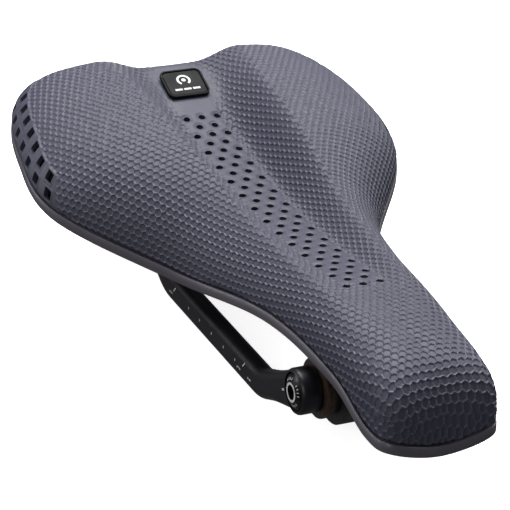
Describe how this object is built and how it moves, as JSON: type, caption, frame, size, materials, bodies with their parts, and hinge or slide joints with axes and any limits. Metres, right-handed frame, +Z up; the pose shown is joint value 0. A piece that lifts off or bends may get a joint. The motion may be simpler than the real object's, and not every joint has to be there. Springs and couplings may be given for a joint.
{
  "type": "bicycle saddle",
  "caption": "Short-nosed padded bicycle saddle with a deep relief channel, a composite shell, and two oval rails that pivot on a cross bolt under the nose and sit in elastomer pads at the tail.",
  "frame": {"origin": "centre of the overall box in plan, at the height of the undersides of the rails' straight stretches", "axes": "+X to the nose, +Y to the rider's left, +Z up, with the rails level"},
  "size_m": [0.2283, 0.1356, 0.0655],
  "materials": {
    "cover": "satin",
    "foam": "matte",
    "mesh": "matte",
    "trim": "satin",
    "badge": "satin",
    "shell": "satin",
    "rail": "satin",
    "elastomer": "satin",
    "bolt": "satin",
    "steel": "satin"
  },
  "bodies": {
    "rails": {"rail_left": "rail", "rail_right": "rail", "pivot_bolt": "bolt", "pivot_nut": "bolt", "pivot_sleeve": "steel", "bush_left": "elastomer", "bush_right": "elastomer", "rear_damper_left": "elastomer", "rear_damper_right": "elastomer"},
    "top": {"cover": "cover", "foam_pad": "foam", "channel_liner": "mesh", "vent_liner_left": "mesh", "vent_liner_right": "mesh", "badge_bezel": "trim", "cover_retainer": "trim", "nose_bracket": "trim", "spacer_left": "trim", "spacer_right": "trim", "badge_plate": "badge", "shell": "shell", "rear_socket_left": "shell", "rear_socket_right": "shell", "socket_cap_left": "shell", "socket_cap_right": "shell", "rebound_pad_left": "elastomer", "rebound_pad_right": "elastomer", "bracket_screw_1": "steel", "bracket_screw_2": "steel", "bracket_screw_3": "steel", "bracket_screw_4": "steel", "socket_screw_left_1": "steel", "socket_screw_left_2": "steel", "socket_screw_left_3": "steel", "socket_screw_right_1": "steel", "socket_screw_right_2": "steel", "socket_screw_right_3": "steel"}
  },
  "joints": [
    {"name": "rear_travel", "type": "hinge", "parent": "rails", "child": "top", "pos_m": [0.0628, 0, 0.0166], "axis": [0, -1, 0], "range_deg": [0, 1.3], "stiffness_Nm_per_rad": 1500, "springref_deg": -0.03, "deforming": ["rear_damper_left", "rear_damper_right"]}
  ]
}
